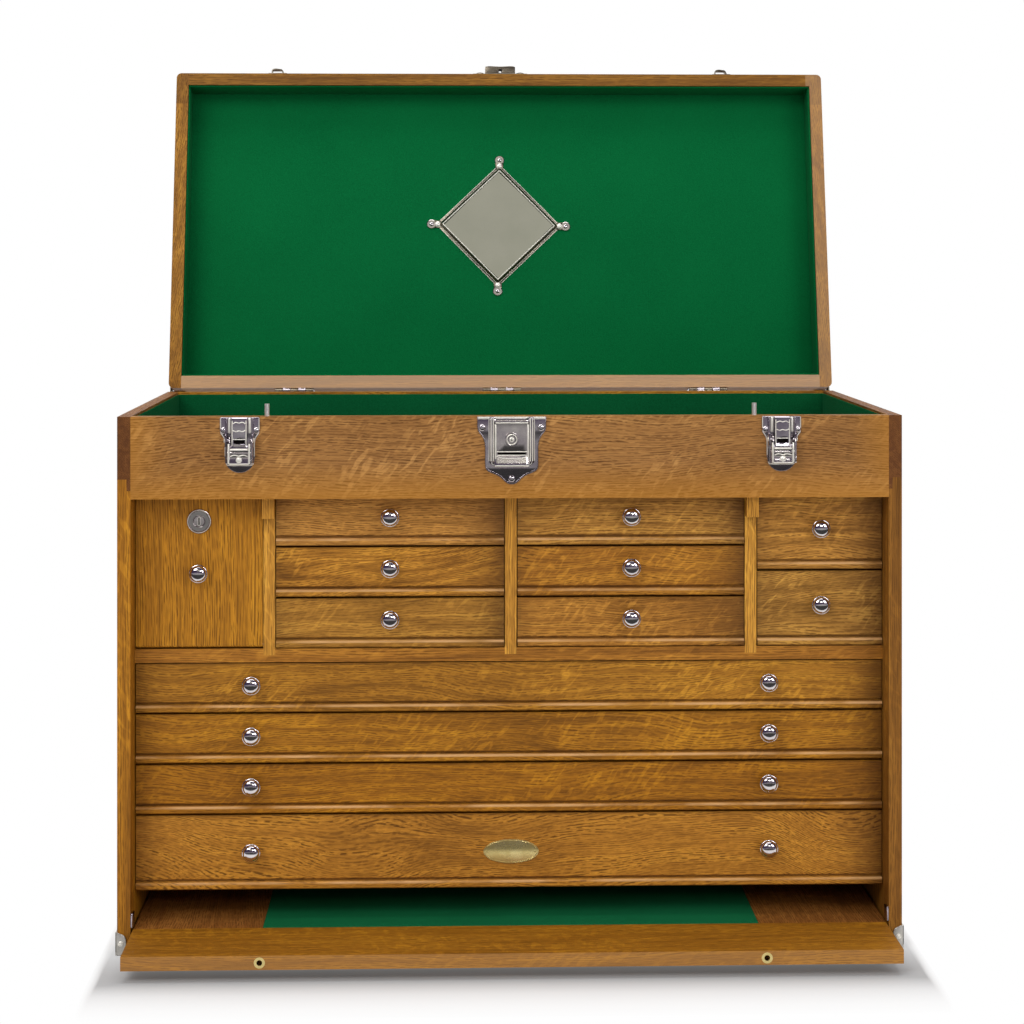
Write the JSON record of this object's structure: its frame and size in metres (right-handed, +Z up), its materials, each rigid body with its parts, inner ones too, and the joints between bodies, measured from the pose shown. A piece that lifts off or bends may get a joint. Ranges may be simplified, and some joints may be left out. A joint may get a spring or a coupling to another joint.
{
  "type": "machinist tool chest",
  "caption": "Felt-lined oak tool chest, open, with a mirrored lid, small and full-width drawers, a drop door and a front panel stowed below.",
  "frame": {"origin": "centre of the case's underside, on the surface it stands on", "axes": "+Z up, -Y out of the drawer fronts, +X to the right as seen from the front"},
  "size_m": [0.6826, 0.499, 0.7802],
  "materials": {
    "oak": "satin varnish",
    "felt": "napped felt",
    "nickel": "polished nickel plate",
    "brass": "polished",
    "mirror": "silvered glass",
    "leather": "waxed"
  },
  "bodies": {
    "case": {"end_left": "oak", "end_right": "oak", "back_board": "oak", "bottom_board": "oak", "apron": "oak", "till_floor": "oak", "till_felt": "felt", "mid_shelf": "oak", "dividers": "oak", "drawer_runners": "oak", "case_fittings": "nickel", "case_hinge_leaves": "nickel", "lock_plate": "nickel", "latch_plates": "nickel"},
    "lid": {"lid_frame": "oak", "lid_panel": "oak", "lid_felt": "felt", "mirror_frame": "nickel", "mirror_glass": "mirror", "lid_fittings": "nickel"},
    "front_panel": {"front_panel": "oak", "panel_felt": "felt", "panel_bushings": "brass"},
    "door": {"door": "oak", "door_knob": "nickel"},
    "door_lock": {"door_lock": "nickel"},
    "lock_lever": {"lock_lever": "nickel"},
    "lock_cylinder": {"lock_cylinder": "nickel"},
    "latch_lever_left": {"latch_lever_left": "nickel"},
    "latch_claw_left": {"latch_claw_left": "nickel"},
    "handle_left": {"handle_left": "leather"},
    "stop_pin_left": {"stop_pin_left": "nickel"},
    "latch_lever_right": {"latch_lever_right": "nickel"},
    "latch_claw_right": {"latch_claw_right": "nickel"},
    "handle_right": {"handle_right": "leather"},
    "stop_pin_right": {"stop_pin_right": "nickel"},
    "drawer_left_top": {"drawer_left_top": "oak", "knob_left_top": "nickel"},
    "drawer_left_middle": {"drawer_left_middle": "oak", "knob_left_middle": "nickel"},
    "drawer_left_bottom": {"drawer_left_bottom": "oak", "knob_left_bottom": "nickel"},
    "drawer_centre_top": {"drawer_centre_top": "oak", "knob_centre_top": "nickel"},
    "drawer_centre_middle": {"drawer_centre_middle": "oak", "knob_centre_middle": "nickel"},
    "drawer_centre_bottom": {"drawer_centre_bottom": "oak", "knob_centre_bottom": "nickel"},
    "drawer_right_top": {"drawer_right_top": "oak", "knob_right_top": "nickel"},
    "drawer_right_bottom": {"drawer_right_bottom": "oak", "knob_right_bottom": "nickel"},
    "drawer_long_top": {"drawer_long_top": "oak", "knob_long_top": "nickel"},
    "drawer_long_middle": {"drawer_long_middle": "oak", "knob_long_middle": "nickel"},
    "drawer_long_bottom": {"drawer_long_bottom": "oak", "knob_long_bottom": "nickel"},
    "drawer_deep": {"drawer_deep": "oak", "knob_deep": "nickel"}
  },
  "joints": [
    {"name": "lid_hinge", "type": "hinge", "parent": "case", "child": "lid", "pos_m": [0, 0.16523, 0.45085], "axis": [1, 0, 0], "range_deg": [0, 101.5]},
    {"name": "panel_slide", "type": "slide", "parent": "case", "child": "front_panel", "axis": [0, -1, 0], "range_m": [0, 0.285]},
    {"name": "door_pivot", "type": "hinge", "parent": "case", "child": "door", "pos_m": [-0.26475, -0.13282, 0.2551], "axis": [1, 0, 0], "range_deg": [0, 90]},
    {"name": "door_lock_turn", "type": "hinge", "parent": "door", "child": "door_lock", "pos_m": [-0.26475, -0.13, 0.3598], "axis": [0, 1, 0], "range_deg": [0, 90]},
    {"name": "lock_lever_pivot", "type": "hinge", "parent": "case", "child": "lock_lever", "pos_m": [0, -0.16653, 0.447], "axis": [-1, 0, 0], "range_deg": [0, 85]},
    {"name": "lock_cylinder_turn", "type": "hinge", "parent": "lock_lever", "child": "lock_cylinder", "pos_m": [0, -0.168, 0.4314], "axis": [0, 1, 0], "range_deg": [0, 90]},
    {"name": "latch_lever_pivot_left", "type": "hinge", "parent": "case", "child": "latch_lever_left", "pos_m": [-0.2278, -0.16762, 0.431], "axis": [-1, 0, 0], "range_deg": [0, 100]},
    {"name": "latch_claw_pivot_left", "type": "hinge", "parent": "latch_lever_left", "child": "latch_claw_left", "pos_m": [-0.2278, -0.16762, 0.425], "axis": [-1, 0, 0], "range_deg": [-101, 0]},
    {"name": "latch_lever_pivot_right", "type": "hinge", "parent": "case", "child": "latch_lever_right", "pos_m": [0.2278, -0.16762, 0.431], "axis": [-1, 0, 0], "range_deg": [0, 100]},
    {"name": "latch_claw_pivot_right", "type": "hinge", "parent": "latch_lever_right", "child": "latch_claw_right", "pos_m": [0.2278, -0.16762, 0.425], "axis": [-1, 0, 0], "range_deg": [-101, 0]},
    {"name": "handle_swing_left", "type": "hinge", "parent": "case", "child": "handle_left", "pos_m": [-0.3374, 0, 0.3], "axis": [0, 1, 0], "range_deg": [0, 90]},
    {"name": "stop_pin_slide_left", "type": "slide", "parent": "case", "child": "stop_pin_left", "axis": [0, 0, 1], "range_m": [-0.0107, 0]},
    {"name": "handle_swing_right", "type": "hinge", "parent": "case", "child": "handle_right", "pos_m": [0.3374, 0, 0.3], "axis": [0, -1, 0], "range_deg": [0, 90]},
    {"name": "stop_pin_slide_right", "type": "slide", "parent": "case", "child": "stop_pin_right", "axis": [0, 0, 1], "range_m": [-0.0107, 0]},
    {"name": "slide_left_top", "type": "slide", "parent": "case", "child": "drawer_left_top", "axis": [0, -1, 0], "range_m": [0, 0.24]},
    {"name": "slide_left_middle", "type": "slide", "parent": "case", "child": "drawer_left_middle", "axis": [0, -1, 0], "range_m": [0, 0.24]},
    {"name": "slide_left_bottom", "type": "slide", "parent": "case", "child": "drawer_left_bottom", "axis": [0, -1, 0], "range_m": [0, 0.24]},
    {"name": "slide_centre_top", "type": "slide", "parent": "case", "child": "drawer_centre_top", "axis": [0, -1, 0], "range_m": [0, 0.24]},
    {"name": "slide_centre_middle", "type": "slide", "parent": "case", "child": "drawer_centre_middle", "axis": [0, -1, 0], "range_m": [0, 0.24]},
    {"name": "slide_centre_bottom", "type": "slide", "parent": "case", "child": "drawer_centre_bottom", "axis": [0, -1, 0], "range_m": [0, 0.24]},
    {"name": "slide_right_top", "type": "slide", "parent": "case", "child": "drawer_right_top", "axis": [0, -1, 0], "range_m": [0, 0.24]},
    {"name": "slide_right_bottom", "type": "slide", "parent": "case", "child": "drawer_right_bottom", "axis": [0, -1, 0], "range_m": [0, 0.24]},
    {"name": "slide_long_top", "type": "slide", "parent": "case", "child": "drawer_long_top", "axis": [0, -1, 0], "range_m": [0, 0.24]},
    {"name": "slide_long_middle", "type": "slide", "parent": "case", "child": "drawer_long_middle", "axis": [0, -1, 0], "range_m": [0, 0.24]},
    {"name": "slide_long_bottom", "type": "slide", "parent": "case", "child": "drawer_long_bottom", "axis": [0, -1, 0], "range_m": [0, 0.24]},
    {"name": "slide_deep", "type": "slide", "parent": "case", "child": "drawer_deep", "axis": [0, -1, 0], "range_m": [0, 0.24]}
  ],
  "couplings": [
    {"joint": "stop_pin_slide_left", "follows": "lid_hinge", "m_per_rad": -0.005984},
    {"joint": "stop_pin_slide_right", "follows": "lid_hinge", "m_per_rad": -0.005984},
    {"joint": "latch_claw_pivot_left", "follows": "latch_lever_pivot_left", "ratio": -1},
    {"joint": "latch_claw_pivot_right", "follows": "latch_lever_pivot_right", "ratio": -1}
  ]
}
